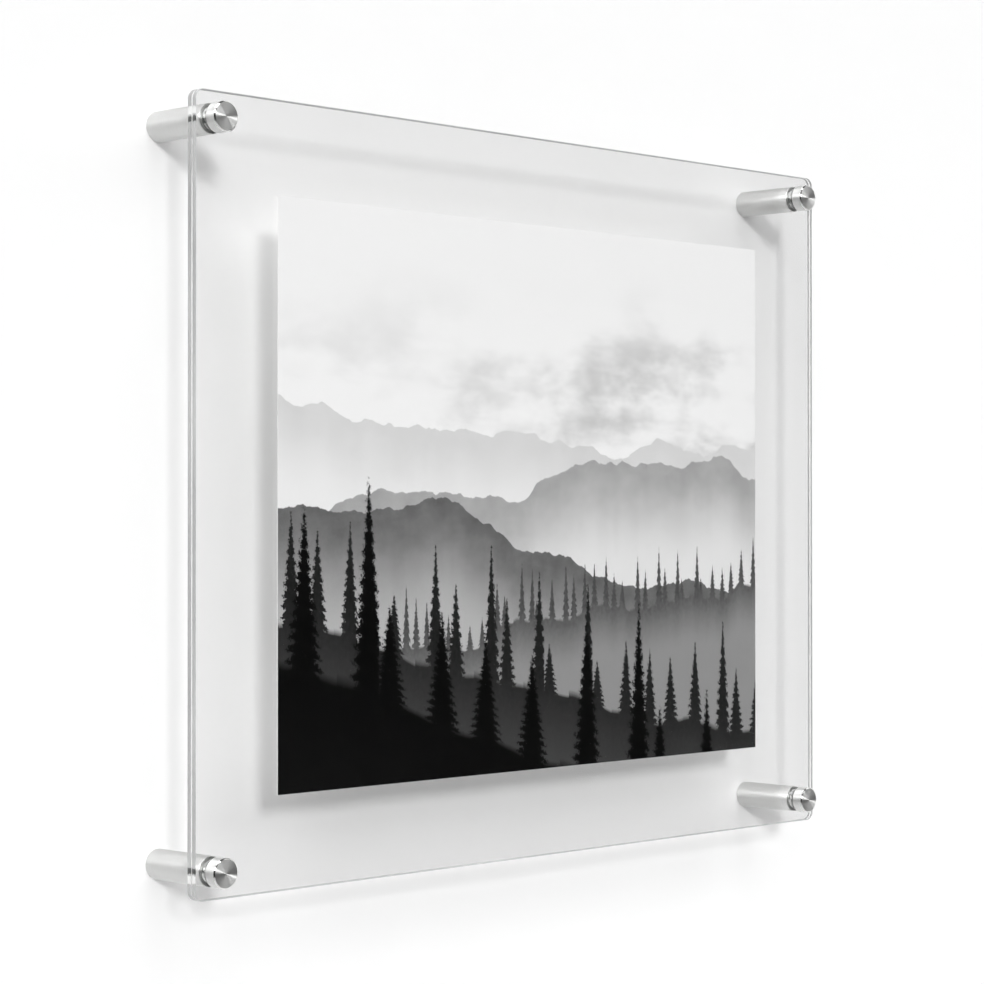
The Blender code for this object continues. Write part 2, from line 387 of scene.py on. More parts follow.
def prism(name: str, outline: Sequence[Point], start: float, end: float) -> Mesh:
    """Straight solid along the Y axis.

    Args:
        name: Name of the mesh.
        outline: Its cross-section.
        start: Distance of one end.
        end: Distance of the other end.

    Returns:
        The mesh.
    """
    bm = bmesh.new()
    low, high = (level(bm, [outline], distance)[0] for distance in (start, end))
    band(bm, low, high)
    bm.faces.new(low)
    bm.faces.new(high)
    return finished(bm, name)


def carved(mesh: Mesh, cutter: Mesh) -> Mesh:
    """Cuts one mesh out of another.

    Args:
        mesh: The mesh that is cut.
        cutter: The closed mesh that is taken away.

    Returns:
        A new mesh.
    """
    body, tool = placed("carved_body", mesh), placed("carved_tool", cutter)
    cut = body.modifiers.new("cut", "BOOLEAN")
    cut.operation = "DIFFERENCE"
    cut.solver = "EXACT"
    cut.object = tool
    graph = bpy.context.evaluated_depsgraph_get()
    result = bpy.data.meshes.new_from_object(body.evaluated_get(graph))
    for temporary in (body, tool):
        bpy.data.objects.remove(temporary, do_unlink=True)
    bm = bmesh.new()
    bm.from_mesh(result)
    bpy.data.meshes.remove(result)
    bmesh.ops.triangulate(bm, faces=[face for face in bm.faces if len(face.verts) > 4])
    bmesh.ops.dissolve_degenerate(bm, dist=SLIVER, edges=bm.edges)
    return finished(bm, mesh.name)


def placed(name: str, mesh: Mesh, axis: Point = (0.0, 0.0)) -> bpy.types.Object:
    """Puts a mesh into the scene as a piece of its own.

    Args:
        name: Name of the piece.
        mesh: Its mesh.
        axis: X and Z of the axis that the mesh was built about.

    Returns:
        The piece.
    """
    piece = bpy.data.objects.new(name, mesh)
    piece.location = (axis[0], 0.0, axis[1])
    bpy.context.scene.collection.objects.link(piece)
    return piece


# Node trees


class Graph:
    """Adds nodes to one tree and joins them by value or by socket."""

    def __init__(self, tree: NodeTree) -> None:
        """Keeps the tree that the nodes go into."""
        self.tree = tree

    def add(self, kind: str, inputs: dict[str | int, Value] | None = None, **settings: object) -> Node:
        """Adds one shader node.

        Args:
            kind: Blender's name for the kind of node, after its first part.
            inputs: Values or sockets for its inputs, by name or by number.
            **settings: The node's own settings.

        Returns:
            The node.
        """
        node = self.tree.nodes.new(f"ShaderNode{kind}")
        for name, value in settings.items():
            setattr(node, name, value)
        for key, value in (inputs or {}).items():
            self.feed(node.inputs[key], value)
        return node

    def feed(self, socket: Socket, value: Value) -> None:
        """Links or sets one input.

        Args:
            socket: The input.
            value: The socket that it is linked to, or its plain value.
        """
        if isinstance(value, bpy.types.NodeSocket):
            self.tree.links.new(value, socket)
        elif socket.type == "RGBA" and len(value) == 3:
            socket.default_value = (*value, 1.0)
        else:
            socket.default_value = value

    def math(self, operation: str, first: Value, second: Value = 0.0) -> Socket:
        """Works out one operation on numbers."""
        return self.add("Math", {0: first, 1: second}, operation=operation).outputs[0]

    def line(self, value: Value, slope: Value, start: Value) -> Socket:
        """Multiplies a number by a slope and adds a start."""
        return self.math("ADD", self.math("MULTIPLY", value, slope), start)

    def spread(self, value: Value, source: Point, target: tuple[Value, Value], soft: bool = False) -> Socket:
        """Maps one range of numbers onto another, easing in and out if it is soft."""
        inputs = dict(zip(RANGE_INPUTS, (value, *source, *target)))
        return self.add("MapRange", inputs, interpolation_type=RANGE_EASE[soft]).outputs["Result"]

    def blend(self, share: Value, first: Value, second: Value, kind: str = "MIX") -> Socket:
        """Mixes a share of a second colour into a first one."""
        return self.add("Mix", {0: share, 6: first, 7: second}, data_type="RGBA", blend_type=kind).outputs[2]

    def choose(self, share: Value, first: Value, second: Value) -> Socket:
        """Mixes a share of a second number into a first one."""
        return self.add("Mix", {0: share, 2: first, 3: second}).outputs[0]

    def mixed(self, share: Value, first: Socket, second: Socket) -> Socket:
        """Mixes a share of a second shader into a first one."""
        return self.add("MixShader", {0: share, 1: first, 2: second}).outputs[0]

    def noise(self, place: Value, scale: Value, detail: float, rough: float = 0.5) -> Socket:
        """Adds a fractal noise in space, by its features for each unit of length and its octaves."""
        inputs = {"Vector": place, "Scale": scale, "Detail": detail, "Roughness": rough}
        return self.add("TexNoise", inputs).outputs["Fac"]

    def wave(self, step: Value, scale: float, detail: float, rough: float = 0.5) -> Socket:
        """Adds a fractal noise along a line."""
        inputs = {"W": step, "Scale": scale, "Detail": detail, "Roughness": rough}
        return self.add("TexNoise", inputs, noise_dimensions="1D").outputs["Fac"]

    def stretched(self, place: Value, scale: Triple) -> Socket:
        """Scales coordinates by their own factor along each axis."""
        return self.add("VectorMath", {0: place, 1: scale}, operation="MULTIPLY").outputs[0]

    def split(self, place: Value) -> Sockets:
        """Parts coordinates into X, Y and Z."""
        return self.add("SeparateXYZ", {0: place}).outputs

    def effect(self, group: NodeTree, **inputs: Value) -> Sockets:
        """Places a shared effect with its own values, with underscores for the spaces in their names."""
        named = {name.replace("_", " "): value for name, value in inputs.items()}
        return self.add("Group", named, node_tree=group).outputs

    def looked_at(self) -> Socket:
        """Masks the rays that come from the camera, straight or through the clear sheets.

        Returns:
            The mask's socket.
        """
        path = self.add("LightPath").outputs
        straight = self.math("LESS_THAN", path["Glossy Depth"], 0.5)
        through = self.math("MULTIPLY", path["Is Transmission Ray"], straight)
        return self.math("MAXIMUM", path["Is Camera Ray"], through)


class Effects:
    """Shared surface effects, each a node group that is built at its first use."""

    @staticmethod
    def _open(name: str, *numbers: str) -> tuple[Graph, Sockets]:
        """Opens a new group.

        Args:
            name: Name of the effect.
            *numbers: Names of its inputs beside the place.

        Returns:
            The graph and the group's inputs.
        """
        tree = bpy.data.node_groups.new(name, "ShaderNodeTree")
        kinds = {"Place": "NodeSocketVector"} | dict.fromkeys(numbers, "NodeSocketFloat")
        for label, kind in kinds.items():
            tree.interface.new_socket(name=label, in_out="INPUT", socket_type=kind)
        return Graph(tree), tree.nodes.new("NodeGroupInput").outputs

    @staticmethod
    def _close(graph: Graph, **outputs: Socket) -> NodeTree:
        """Closes a group.

        Args:
            graph: The group's nodes.
            **outputs: Its outputs, which are all numbers.

        Returns:
            The group.
        """
        for label in outputs:
            graph.tree.interface.new_socket(name=label, in_out="OUTPUT", socket_type="NodeSocketFloat")
        result = graph.tree.nodes.new("NodeGroupOutput")
        for label, value in outputs.items():
            graph.feed(result.inputs[label], value)
        return graph.tree

    @cached_property
    def handling(self) -> NodeTree:
        """Faint smears and hairlines that cloths and fingers leave on a polished face."""
        graph, source = self._open("handling_marks", "Scale")
        inputs = {0: source["Place"], "Scale": source["Scale"]}
        scaled = graph.add("VectorMath", inputs, operation="SCALE").outputs[0]
        patches = graph.noise(scaled, scale=18.0, detail=5.0, rough=0.6)
        smears = graph.spread(patches, (0.5, 0.78), UNIT, soft=True)
        wiped = graph.noise(graph.stretched(scaled, (60.0, 60.0, 420.0)), scale=1.0, detail=3.0)
        hairs = graph.spread(wiped, (0.62, 0.74), (0.0, 0.6))
        haze = graph.math("MULTIPLY", smears, graph.math("ADD", 0.45, hairs))
        return self._close(graph, Haze=haze, Height=graph.noise(scaled, scale=9.0, detail=2.0))

    @cached_property
    def turning(self) -> NodeTree:
        """Fine rings that the lathe's tool leaves, both round a side and across a face."""
        graph, source = self._open("turning_marks", "Spacing")
        place = source["Place"]
        flat = graph.stretched(place, (1.0, 0.0, 1.0))
        radius = graph.add("VectorMath", {0: flat}, operation="LENGTH").outputs["Value"]
        along = graph.math("SUBTRACT", radius, graph.split(place)["Y"])
        swayed = graph.line(graph.noise(place, scale=900.0, detail=2.0), 0.00006, along)
        step = graph.math("DIVIDE", swayed, source["Spacing"])
        fine, broad = graph.wave(step, scale=1.0, detail=3.0), graph.wave(step, scale=0.17, detail=1.0)
        rings = graph.line(fine, 0.65, graph.math("MULTIPLY", broad, 0.35))
        return self._close(graph, Rings=graph.spread(rings, NOISE_SPAN, UNIT), Height=fine)

    @cached_property
    def wear(self) -> NodeTree:
        """Mask of the rims that rubbing has brightened."""
        graph, source = self._open("edge_wear", "Patch Scale")
        bend = graph.add("NewGeometry").outputs["Pointiness"]
        rim = graph.spread(bend, (0.51, 0.6), UNIT, soft=True)
        patches = graph.noise(source["Place"], source["Patch Scale"], detail=3.0)
        worn = graph.spread(patches, (0.35, 0.65), (0.25, 1.0))
        return self._close(graph, Mask=graph.math("MULTIPLY", rim, worn))

    @cached_property
    def grain(self) -> NodeTree:
        """Even fine grain, with a slow mottle under it."""
        graph, source = self._open("fine_grain", "Scale")
        place, scale = source["Place"], source["Scale"]
        slow = graph.math("MULTIPLY", scale, 0.06)
        fine, mottle = graph.noise(place, scale, detail=2.0), graph.noise(place, slow, detail=3.0)
        return self._close(graph, Grain=fine, Mottle=mottle)

    @cached_property
    def ridge(self) -> NodeTree:
        """One range of hills across a picture whose height is 1."""
        graph, source = self._open("ridge_line", "Crest", "Tilt", "Relief", "Scale", "Seed")
        across, _, up = graph.split(source["Place"])
        step = graph.line(across, source["Scale"], source["Seed"])
        outline = graph.wave(step, scale=1.0, detail=9.0, rough=0.52)
        swing = graph.math("MULTIPLY", graph.math("SUBTRACT", outline, 0.5), source["Relief"])
        lean = graph.line(across, source["Tilt"], source["Crest"])
        drop = graph.math("SUBTRACT", graph.math("ADD", lean, swing), up)
        return self._close(graph, Mask=graph.spread(drop, (-0.0012, 0.0012), UNIT, soft=True), Drop=drop)

    @cached_property
    def trees(self) -> NodeTree:
        """A row of firs on sloping ground, across a picture whose height is 1."""
        graph, source = self._open("tree_line", "Ground", "Tilt", "Height", "Density", "Boughs", "Seed")
        across, _, up = graph.split(source["Place"])
        ragged = graph.noise(source["Place"], scale=160.0, detail=3.0, rough=0.7)
        step = graph.line(across, source["Density"], source["Seed"])
        cell = graph.add("TexVoronoi", {"W": step, "Scale": 1.0, "Randomness": 0.75}, voronoi_dimensions="1D")
        chance = graph.add("SeparateColor", {0: cell.outputs["Color"]}).outputs
        swell = graph.math("SUBTRACT", graph.wave(step, scale=0.16, detail=3.0), 0.5)
        ground = graph.line(swell, 0.12, graph.line(across, source["Tilt"], source["Ground"]))
        tall = graph.math("MULTIPLY", source["Height"], graph.spread(chance[0], UNIT, (0.35, 1.0)))
        lift = graph.math("SUBTRACT", up, ground)
        rise = graph.math("DIVIDE", lift, tall)
        tier = graph.line(ragged, 1.4, graph.line(rise, source["Boughs"], chance[1]))
        bough = graph.spread(graph.math("FRACT", tier), UNIT, (1.0, 0.5))
        reach = graph.math("MULTIPLY", graph.spread(rise, UNIT, (0.42, 0.0)), bough)
        stray = graph.line(graph.math("SUBTRACT", ragged, 0.5), 0.22, cell.outputs["Distance"])
        tree = graph.spread(graph.math("SUBTRACT", reach, stray), (-0.02, 0.02), UNIT)
        topped = graph.math("MULTIPLY", tree, graph.math("LESS_THAN", rise, 1.0))
        below = graph.spread(rise, (0.08, 0.02), UNIT)
        return self._close(graph, Mask=graph.math("MAXIMUM", topped, below), Lift=lift)


# Finishes


def grey(tone: float) -> Triple:
    """Grey of one tone."""
    return (tone, tone, tone)


class Surface:
    """A new material with its shader, and the piece's own coordinates."""

    def __init__(self, name: str) -> None:
        """Makes the material.

        Args:
            name: Name of the material.
        """
        self.material = bpy.data.materials.new(name)
        self.material.use_nodes = True
        self.graph = Graph(self.material.node_tree)
        self.shader = self.material.node_tree.nodes["Principled BSDF"]

    def set(self, **constants: float) -> None:
        """Sets plain values on the shader, with underscores for the spaces in the sockets' names."""
        for name, value in constants.items():
            self.shader.inputs[name.replace("_", " ")].default_value = value

    def feed(self, name: str, value: Value) -> None:
        """Links or sets one of the shader's inputs."""
        self.graph.feed(self.shader.inputs[name], value)

    def show(self, shader: Socket) -> None:
        """Shows another shader in place of the material's own."""
        self.graph.feed(self.material.node_tree.nodes["Material Output"].inputs["Surface"], shader)

    def place(self, varied: bool = True) -> Socket:
        """Gives coordinates that stay on the piece.

        Args:
            varied: Whether each piece is shifted by its own random amount.

        Returns:
            The coordinates' socket.
        """
        here = self.graph.add("TexCoord").outputs["Object"]
        if not varied:
            return here
        shift = self.graph.math("MULTIPLY", self.graph.add("ObjectInfo").outputs["Random"], RANDOM_SHIFT)
        return self.graph.add("VectorMath", {0: here, 1: shift}, operation="ADD").outputs[0]

    def bump(self, height: Value, strength: float, depth: float) -> None:
        """Roughens the shader's normal by a share of a relief whose height is in metres."""
        inputs = {"Height": height, "Strength": strength, "Distance": depth}
        self.feed("Normal", self.graph.add("Bump", inputs).outputs["Normal"])

    def pass_light(self, tint: Triple) -> None:
        """Lets lamps and soft light straight through the piece.

        Args:
            tint: Light that each face lets through.
        """
        path = self.graph.add("LightPath").outputs
        clear = self.graph.add("BsdfTransparent", {"Color": tint}).outputs[0]
        shader = self.shader.outputs[0]
        for ray in ("Is Shadow Ray", "Is Diffuse Ray"):
            shader = self.graph.mixed(path[ray], shader, clear)
        self.show(shader)


@dataclass(frozen=True)
class Finish:
    """What all finishes have: the shared effects and the name of the material."""

    effects: Effects
    name: str


@dataclass(frozen=True)
class ClearFinish(Finish):
    """Clear plastic with faint marks of handling."""

    tint: Triple
    haze_tint: Triple  # where it is smeared
    refraction: float
    polish: float  # roughness of the clean face
    haze: float  # roughness that the smears add
    shade: Triple  # light that each face lets through

    @cached_property
    def material(self) -> Material:
        """The painted material."""
        surface = Surface(self.name)
        graph = surface.graph
        marks = graph.effect(self.effects.handling, Place=surface.place(), Scale=1.0)
        surface.feed("Base Color", graph.blend(marks["Haze"], self.tint, self.haze_tint))
        surface.feed("Roughness", graph.spread(marks["Haze"], UNIT, (self.polish, self.polish + self.haze)))
        surface.bump(marks["Height"], strength=0.002, depth=0.0002)
        surface.set(Transmission_Weight=1.0, IOR=self.refraction, Metallic=0.0)
        surface.pass_light(self.shade)
        return surface.material


@dataclass(frozen=True)
class CutEdgeFinish(Finish):
    """Sawn and buffed edge of a clear sheet, which catches light from inside the sheet.

    Where a hole lies behind an upright edge, a painted highlight and a painted shade stand in for the hole
    seen through the sheet.
    """

    dark: Triple  # between the saw's lines
    light: Triple  # on the saw's lines
    clear: float  # share of light that passes
    roughness: Point
    hole_height: float
    bright: Triple  # painted highlight, on the far side of a hole
    painted_hole_shade: Triple  # painted shade, on the near side of a hole
    refraction: float = 1.49
    saw: Triple = (900.0, 9000.0, 900.0)  # lines for each metre along each axis
    painted_highlight_span: Point = (0.0005, 0.0042)  # heights of the painted highlight above a hole's middle
    before: Point = (-0.0028, -0.0002)  # heights of the painted shade
    waver: float = 0.0004  # unevenness and softness of both painted marks

    @cached_property
    def material(self) -> Material:
        """The painted material."""
        surface = Surface(self.name)
        graph = surface.graph
        place = surface.place()
        lines = graph.noise(graph.stretched(place, self.saw), scale=1.0, detail=3.0)
        clouds = graph.noise(place, scale=14.0, detail=3.0)
        share = graph.spread(graph.line(lines, 0.4, clouds), (0.45, 0.95), UNIT)
        # The holes seen through the edge are painted on: a painted highlight on their far side and a painted
        # shade on their near side.
        height = graph.split(surface.place(varied=False))["Z"]
        offset = graph.math("SUBTRACT", graph.math("ABSOLUTE", height), self.hole_height)
        uneven = graph.noise(place, scale=400.0, detail=1.0)
        wavy = graph.math("ADD", offset, graph.spread(uneven, NOISE_SPAN, (-self.waver, self.waver)))
        edge = graph.blend(share, self.dark, self.light)
        for span, mark in ((self.painted_highlight_span, self.bright), (self.before, self.painted_hole_shade)):
            middle, reach = (span[0] + span[1]) / 2, (span[1] - span[0]) / 2
            away = graph.math("ABSOLUTE", graph.math("SUBTRACT", wavy, middle))
            within = graph.spread(away, (reach + self.waver, reach - self.waver), UNIT, soft=True)
            edge = graph.blend(within, edge, mark)
        surface.feed("Base Color", edge)
        marks = graph.effect(self.effects.handling, Place=place, Scale=3.0)
        surface.feed("Roughness", graph.spread(marks["Haze"], UNIT, self.roughness))
        surface.bump(lines, strength=0.2, depth=0.00005)
        surface.set(Transmission_Weight=self.clear, IOR=self.refraction, Metallic=0.0)
        surface.set(Coat_Weight=0.5, Coat_Roughness=0.08)
        return surface.material


@dataclass(frozen=True)
class MetalFinish(Finish):
    """Machined metal with the rings of its turning and rubbed rims."""

    dark: Triple  # painted shade in the grooves of the tool's rings
    light: Triple  # on the lands between the grooves
    bright: Triple  # on the rubbed rims
    roughness: Point
    stretch: float  # how far the grooves stretch a highlight
    spacing: float  # of the tool's rings
    depth: float  # of the tool's rings
    haze: float  # roughness that finger marks add
    polish: float = 0.06  # roughness that rubbing takes away

    @cached_property
    def material(self) -> Material:
        """The painted material."""
        surface = Surface(self.name)
        graph = surface.graph
        varied = surface.place()
        rings = graph.effect(self.effects.turning, Place=surface.place(varied=False), Spacing=self.spacing)
        worn = graph.effect(self.effects.wear, Place=varied, Patch_Scale=700.0)["Mask"]
        marks = graph.effect(self.effects.handling, Place=varied, Scale=12.0)
        # Painted shade: the colour darkens in the grooves of the tool's rings, with a slower change of tone
        # along the turning.
        metal = graph.blend(rings["Rings"], self.dark, self.light)
        surface.feed("Base Color", graph.blend(worn, metal, self.bright))
        rough = graph.line(marks["Haze"], self.haze, graph.spread(rings["Rings"], UNIT, self.roughness))
        surface.feed("Roughness", graph.math("SUBTRACT", rough, graph.math("MULTIPLY", worn, self.polish)))
        surface.bump(rings["Height"], strength=0.25, depth=self.depth)
        surface.set(Metallic=1.0, Anisotropic=self.stretch, Anisotropic_Rotation=0.25)
        surface.feed("Tangent", graph.add("Tangent", direction_type="RADIAL", axis="Y").outputs[0])
        return surface.material


@dataclass(frozen=True)
class GrainFinish(Finish):
    """Matt plastic or paper with a fine grain."""

    dark: Triple  # darker colour of the mottle
    light: Triple
    roughness: Point
    scale: float  # of the grain
    relief: Point  # strength and depth of the grain
    refraction: float
    rubbed: Triple | None = None  # on rubbed rims

    @cached_property
    def material(self) -> Material:
        """The painted material."""
        surface = Surface(self.name)
        graph = surface.graph
        place = surface.place()
        grain = graph.effect(self.effects.grain, Place=place, Scale=self.scale)
        colour = graph.blend(grain["Mottle"], self.dark, self.light)
        if self.rubbed:
            worn = graph.effect(self.effects.wear, Place=place, Patch_Scale=900.0)
            colour = graph.blend(worn["Mask"], colour, self.rubbed)
        surface.feed("Base Color", colour)
        surface.feed("Roughness", graph.spread(grain["Grain"], NOISE_SPAN, self.roughness))
        surface.bump(grain["Grain"], *self.relief)
        surface.set(Metallic=0.0, IOR=self.refraction)
        return surface.material


@dataclass(frozen=True)
class HillTone:
    """One range of hills in a picture whose height is 1, with 0 at its middle."""

    crest: float  # height of the skyline
    tilt: float  # slope of the skyline
    relief: float  # height of the peaks
    scale: float  # peaks for each picture height
    seed: float  # picks the skyline's shape
    tone: float  # grey at the skyline
    mist: float  # grey at the foot
    depth: float  # height over which the mist thickens
    texture: float  # how strongly rock and scrub show


@dataclass(frozen=True)
class FirTone:
    """One row of firs in a picture whose height is 1, with 0 at its middle."""

    ground: float  # height of the ground at the picture's middle
    tilt: float  # slope of the ground
    height: float  # of the tallest firs
    density: float  # firs for each picture height
    boughs: float  # tiers of boughs on a fir
    seed: float  # picks the firs
    tone: float  # grey of the firs
    mist: float  # grey at their feet


@dataclass(frozen=True)
class PictureFinish(Finish):
    """Printed face: misty hills and firs in black and white, each from the farthest to the nearest."""

    height: float  # of the print
    white: float  # brightest tone
    cloud: float  # tone of the clouds' shaded sides
    hills: tuple[HillTone, ...]
    firs: tuple[FirTone, ...]

    @cached_property
    def material(self) -> Material:
        """The painted material."""
        surface = Surface(self.name)
        graph = surface.graph
        here = surface.place(varied=False)
        unit = 1 / self.height
        place = graph.stretched(here, (unit, 0.0, unit))
        picture = self._sky(graph, place)
        for hill in self.hills:
            picture = self._hill(graph, place, picture, hill)
        for row in self.firs:
            picture = self._fir_row(graph, place, picture, row)
        grain = graph.effect(self.effects.grain, Place=here, Scale=2400.0)
        speck = graph.spread(grain["Grain"], NOISE_SPAN, (0.93, 1.05))
        surface.feed("Base Color", graph.blend(1.0, picture, speck, "MULTIPLY"))
        surface.feed("Roughness", graph.spread(grain["Mottle"], NOISE_SPAN, (0.3, 0.4)))
        surface.bump(grain["Grain"], strength=0.1, depth=0.00002)
        surface.set(Metallic=0.0, IOR=1.5, Specular_IOR_Level=0.1)
        return surface.material

    def _sky(self, graph: Graph, place: Socket) -> Socket:
        """Pale sky with a bank of cloud.

        Args:
            graph: The material's nodes.
            place: Coordinates in the picture.

        Returns:
            The sky's colour.
        """
        across, _, up = graph.split(place)
        puffs = graph.noise(graph.stretched(place, (2.2, 1.0, 4.6)), scale=1.0, detail=8.0, rough=0.6)
        bank = graph.spread(up, (0.44, 0.2), UNIT, soft=True)
        side = graph.spread(across, (-0.5, 0.4), (0.35, 1.0), soft=True)
        cover = graph.math("MULTIPLY", graph.spread(puffs, (0.44, 0.62), UNIT, soft=True), bank)
        return graph.blend(graph.math("MULTIPLY", cover, side), grey(self.white), grey(self.cloud))

    def _hill(self, graph: Graph, place: Socket, behind: Socket, hill: HillTone) -> Socket:
        """Lays one range of hills over what is behind it.

        Args:
            graph: The material's nodes.
            place: Coordinates in the picture.
            behind: The picture so far.
            hill: The range.

        Returns:
            The picture with the range.
        """
        shape = {"Crest": hill.crest, "Tilt": hill.tilt, "Relief": hill.relief, "Scale": hill.scale}
        ridge = graph.effect(self.effects.ridge, Place=place, Seed=hill.seed, **shape)
        fade = graph.spread(ridge["Drop"], (0.0, hill.depth), UNIT, soft=True)
        gullies = graph.noise(graph.stretched(place, (13.0, 1.0, 17.0)), scale=1.0, detail=7.0, rough=0.62)
        shade = graph.spread(gullies, NOISE_SPAN, (1.0 - hill.texture, 1.0 + hill.texture))
        rock = graph.blend(1.0, grey(hill.tone), shade, "MULTIPLY")
        return graph.blend(ridge["Mask"], behind, graph.blend(fade, rock, grey(hill.mist)))

    def _fir_row(self, graph: Graph, place: Socket, behind: Socket, row: FirTone) -> Socket:
        """Stands one row of firs in front of what is behind it.

        Args:
            graph: The material's nodes.
            place: Coordinates in the picture.
            behind: The picture so far.
            row: The row of firs.

        Returns:
            The picture with the firs.
        """
        shape = {"Ground": row.ground, "Tilt": row.tilt, "Height": row.height, "Density": row.density}
        trees = graph.effect(self.effects.trees, Place=place, Boughs=row.boughs, Seed=row.seed, **shape)
        fade = graph.spread(trees["Lift"], (0.3 * row.height, -0.8 * row.height), UNIT, soft=True)
        needles = graph.noise(graph.stretched(place, (120.0, 1.0, 90.0)), scale=1.0, detail=3.0)
        shade = graph.spread(needles, NOISE_SPAN, (0.7, 1.3))
        green = graph.blend(1.0, grey(row.tone), shade, "MULTIPLY")
        return graph.blend(trees["Mask"], behind, graph.blend(fade, green, grey(row.mist)))


@dataclass(frozen=True)
class WallFinish(Finish):
    """White painted wall with a faint roller texture over a pale floor, seen from the front only."""

    dark: Triple  # in the hollows of the paint
    light: Triple
    floor: Triple
    far: Triple  # floor's front end
    turn: Point  # heights between which the wall turns into the floor
    fade: Point  # distances between which the floor fades into the room
    glow: float  # share of its white that the wall shows of itself, which softens the shadows on it
    floor_glow: float  # the same share for the floor where it is looked at

    @cached_property
    def material(self) -> Material:
        """The painted material."""
        surface = Surface(self.name)
        graph = surface.graph
        here = surface.place(varied=False)
        grain = graph.effect(self.effects.grain, Place=here, Scale=500.0)
        paint = graph.blend(grain["Mottle"], self.dark, self.light)
        _, out, up = graph.split(here)
        low, far = (graph.spread(*span, UNIT, soft=True) for span in ((up, self.turn), (out, self.fade)))
        surface.feed("Base Color", graph.blend(far, graph.blend(low, paint, self.floor), self.far))
        surface.feed("Roughness", graph.spread(grain["Grain"], NOISE_SPAN, (0.85, 0.95)))
        surface.bump(grain["Grain"], strength=0.04, depth=0.0001)
        surface.set(Metallic=0.0, Specular_IOR_Level=0.0)
        own = graph.spread(far, UNIT, (self.glow, 0.0))
        shown = graph.spread(far, UNIT, (self.floor_glow, 1.0))
        share = graph.choose(graph.math("MULTIPLY", graph.looked_at(), low), own, shown)
        white = graph.add("Emission", {"Color": WHITE, "Strength": 1.0}).outputs[0]
        clear = graph.add("BsdfTransparent", {"Color": WHITE}).outputs[0]
        behind = graph.add("NewGeometry").outputs["Backfacing"]
        surface.show(graph.mixed(behind, graph.mixed(share, surface.shader.outputs[0], white), clear))
        return surface.material


